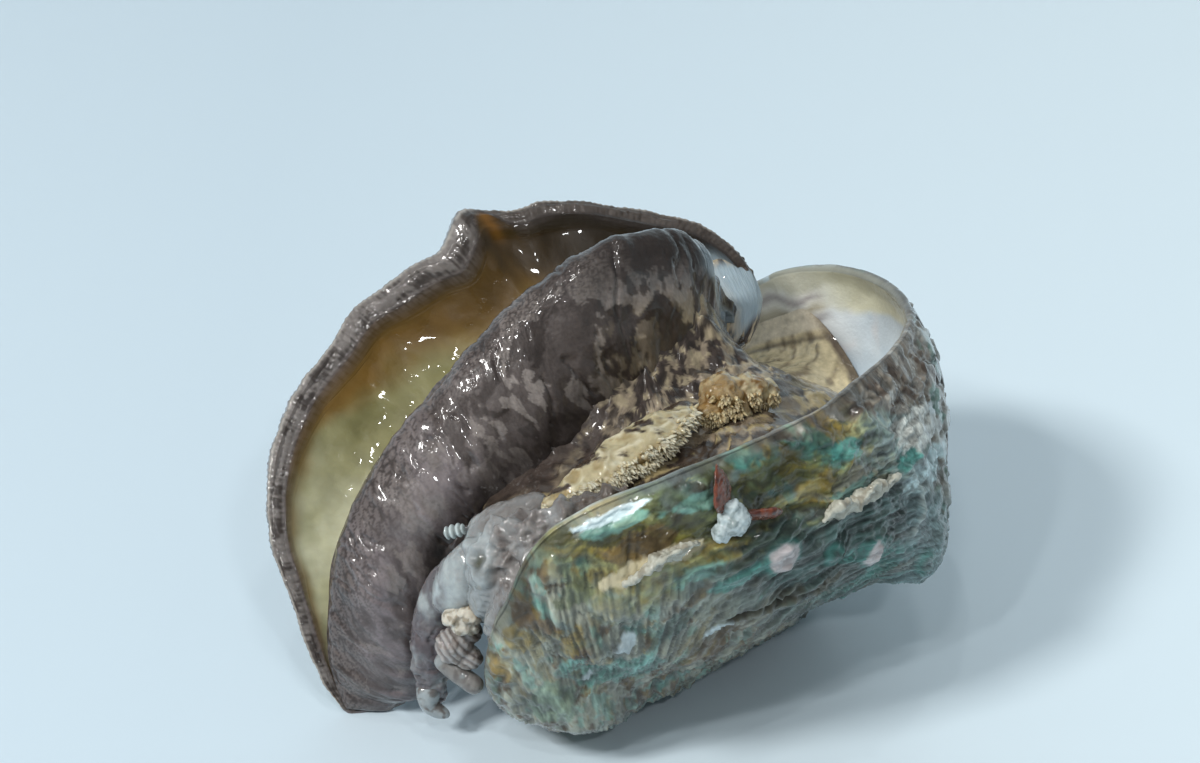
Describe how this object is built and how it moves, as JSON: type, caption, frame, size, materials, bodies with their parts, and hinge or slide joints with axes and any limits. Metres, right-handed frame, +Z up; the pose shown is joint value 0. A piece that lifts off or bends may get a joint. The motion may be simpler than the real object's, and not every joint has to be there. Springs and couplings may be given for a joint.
{
  "type": "fresh abalone in its shell",
  "caption": "Raw abalone lying on its side: a bowl-shaped olive and turquoise shell opens up and left, the foot curls out of it round its hollow sole, with head and viscera between.",
  "frame": {"origin": "on the floor under the middle of the whole animal's bounding box", "axes": "+Z up; +X from the foot's rim to the shell's spire side; +Y away from the head end"},
  "size_m": [0.0754, 0.07, 0.0475],
  "materials": {
    "shell": "rough, wet, olive and turquoise",
    "foot": "wet mottled skin with an olive sole",
    "viscera": "wet, dark brown",
    "head": "wet, translucent grey white",
    "mouth": "wet, cream",
    "frill": "wet, folded",
    "tentacles": "wet, pale grey",
    "mantle": "wet, wrinkled",
    "gonad": "wet, cream, fringed",
    "digestive_gland": "wet, amber, fringed",
    "barnacle": "chalky, wet",
    "weed": "wet red-brown weed",
    "crusts": "chalky",
    "worm_tube": "smooth, ringed, wet"
  },
  "bodies": {
    "root": {"shell": "shell", "foot": "foot", "viscera": "viscera", "head": "head", "mouth": "mouth", "frill": "frill", "tentacle_1": "tentacles", "tentacle_2": "tentacles", "mantle": "mantle", "gonad": "gonad", "digestive_gland": "digestive_gland", "barnacle": "barnacle", "weed": "weed", "upper_crust": "crusts", "lower_crust": "crusts", "worm_tube": "worm_tube"}
  },
  "joints": []
}
